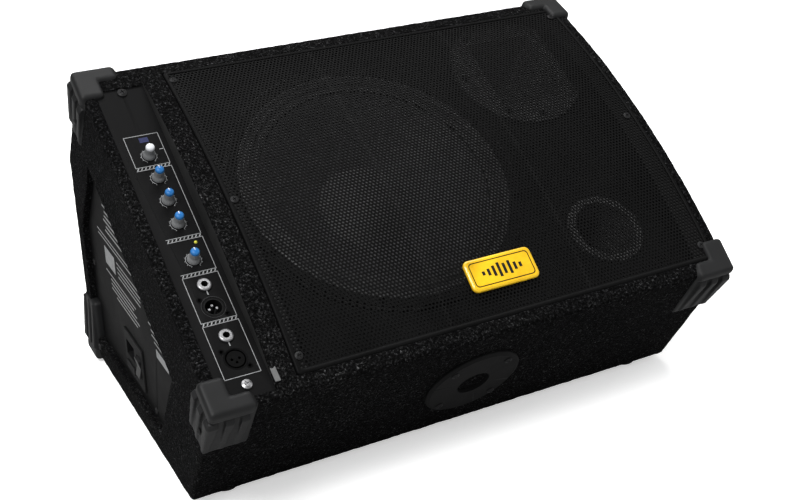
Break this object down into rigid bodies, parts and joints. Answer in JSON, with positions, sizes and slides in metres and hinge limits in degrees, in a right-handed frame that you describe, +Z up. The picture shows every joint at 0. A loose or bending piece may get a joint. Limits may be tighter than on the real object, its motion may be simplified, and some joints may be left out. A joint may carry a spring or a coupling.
{
  "type": "stage monitor wedge",
  "caption": "Carpeted wooden floor monitor wedge with crowned steel grille, woofer, horn, port, side amplifier plate and a column of knobs and sockets.",
  "frame": {"origin": "on the floor, under the centre of the bounding box", "axes": "+X to the right along the width, seen from the front, +Y towards the back, +Z up"},
  "size_m": [0.5812, 0.4252, 0.3611],
  "materials": {
    "board": "bare plywood",
    "black_board": "black paint on plywood",
    "carpet": "needle-punched carpet",
    "grille": "powder coat",
    "black_screw": "black oxide",
    "badge": "gloss",
    "grey_plastic": "fine grain",
    "zinc_screw": "zinc plated",
    "rubber": "matt",
    "black_plastic": "fine grain",
    "frame_paint": "satin black",
    "gasket": "foam",
    "surround": "coated cloth",
    "cone": "pressed fibre",
    "copper": "enamelled copper",
    "spider": "resin cloth",
    "steel": "plated",
    "ferrite": "sintered",
    "brass": "plated",
    "diaphragm": "thin foil",
    "plate": "satin dark paint",
    "heatsink": "extruded",
    "circuit": "solder mask",
    "rocker_black": "gloss",
    "chrome": "polished",
    "knob_grey": "soft touch with blue cap",
    "knob_white": "soft touch with white cap",
    "led": "clear lens"
  },
  "bodies": {
    "cabinet": {"side_panel_left": "board", "side_panel_right": "board", "front_panel": "board", "rear_panel": "board", "tail_panel": "board", "bottom_panel": "board", "baffle_board": "black_board", "bay_divider": "black_board", "grille_rails": "black_board", "carpet_left": "carpet", "carpet_right": "carpet", "carpet_wrap": "carpet", "carpet_recess": "carpet", "grille": "grille", "grille_screws": "black_screw", "badge": "badge", "corner_protectors": "grey_plastic", "protector_screws": "zinc_screw", "rubber_feet": "rubber", "foot_screws": "zinc_screw", "pole_socket": "black_plastic", "pole_socket_screws": "black_screw", "woofer_basket": "frame_paint", "woofer_gasket": "gasket", "woofer_surround": "surround", "spider": "spider", "woofer_top_plate": "steel", "woofer_magnet": "ferrite", "woofer_back_plate": "steel", "woofer_terminals": "brass", "woofer_screws": "black_screw", "horn_flare": "black_plastic", "horn_screws": "black_screw", "compression_driver": "frame_paint", "driver_diaphragm": "diaphragm", "port_tube": "black_plastic", "amp_plate": "plate", "amp_plate_screws": "black_screw", "heatsink": "heatsink", "power_transformer": "copper", "amp_board": "circuit", "mains_inlet": "black_plastic", "control_panel": "plate", "panel_screws": "chrome", "control_board": "circuit", "level_pots": "steel", "xlr_male": "black_plastic", "xlr_female": "black_plastic", "jack_sockets": "chrome", "status_led": "led"},
    "moving_cone": {"woofer_cone": "cone", "dust_cap": "cone", "voice_coil": "copper"},
    "knob_1_body": {"knob_1": "knob_white"},
    "knob_2_body": {"knob_2": "knob_grey"},
    "knob_3_body": {"knob_3": "knob_grey"},
    "knob_4_body": {"knob_4": "knob_grey"},
    "knob_5_body": {"knob_5": "knob_grey"},
    "switch_body": {"power_switch": "rocker_black"},
    "fuse_body": {"fuse_drawer": "black_plastic"}
  },
  "joints": [
    {"name": "knob_1_turn", "type": "hinge", "parent": "cabinet", "child": "knob_1_body", "pos_m": [-0.2478, 0.03939, 0.3], "axis": [0, -0.4955, 0.8686], "range_deg": [-150, 150]},
    {"name": "knob_2_turn", "type": "hinge", "parent": "cabinet", "child": "knob_2_body", "pos_m": [-0.2478, 0.01507, 0.28613], "axis": [0, -0.4955, 0.8686], "range_deg": [-150, 150]},
    {"name": "knob_3_turn", "type": "hinge", "parent": "cabinet", "child": "knob_3_body", "pos_m": [-0.2478, -0.00926, 0.27226], "axis": [0, -0.4955, 0.8686], "range_deg": [-150, 150]},
    {"name": "knob_4_turn", "type": "hinge", "parent": "cabinet", "child": "knob_4_body", "pos_m": [-0.2478, -0.03358, 0.25838], "axis": [0, -0.4955, 0.8686], "range_deg": [-150, 150]},
    {"name": "knob_5_turn", "type": "hinge", "parent": "cabinet", "child": "knob_5_body", "pos_m": [-0.2478, -0.07067, 0.23723], "axis": [0, -0.4955, 0.8686], "range_deg": [-150, 150]},
    {"name": "switch_rock", "type": "hinge", "parent": "cabinet", "child": "switch_body", "pos_m": [-0.277, 0.03364, 0.072], "axis": [0, -1, 0], "range_deg": [-8, 8]},
    {"name": "fuse_pull", "type": "slide", "parent": "cabinet", "child": "fuse_body", "axis": [-1, 0, 0], "range_m": [0, 0.015]},
    {"name": "cone_travel", "type": "slide", "parent": "cabinet", "child": "moving_cone", "axis": [0, -0.4955, 0.8686], "range_m": [-0.004, 0.004], "deforming": ["woofer_surround", "spider"]}
  ]
}
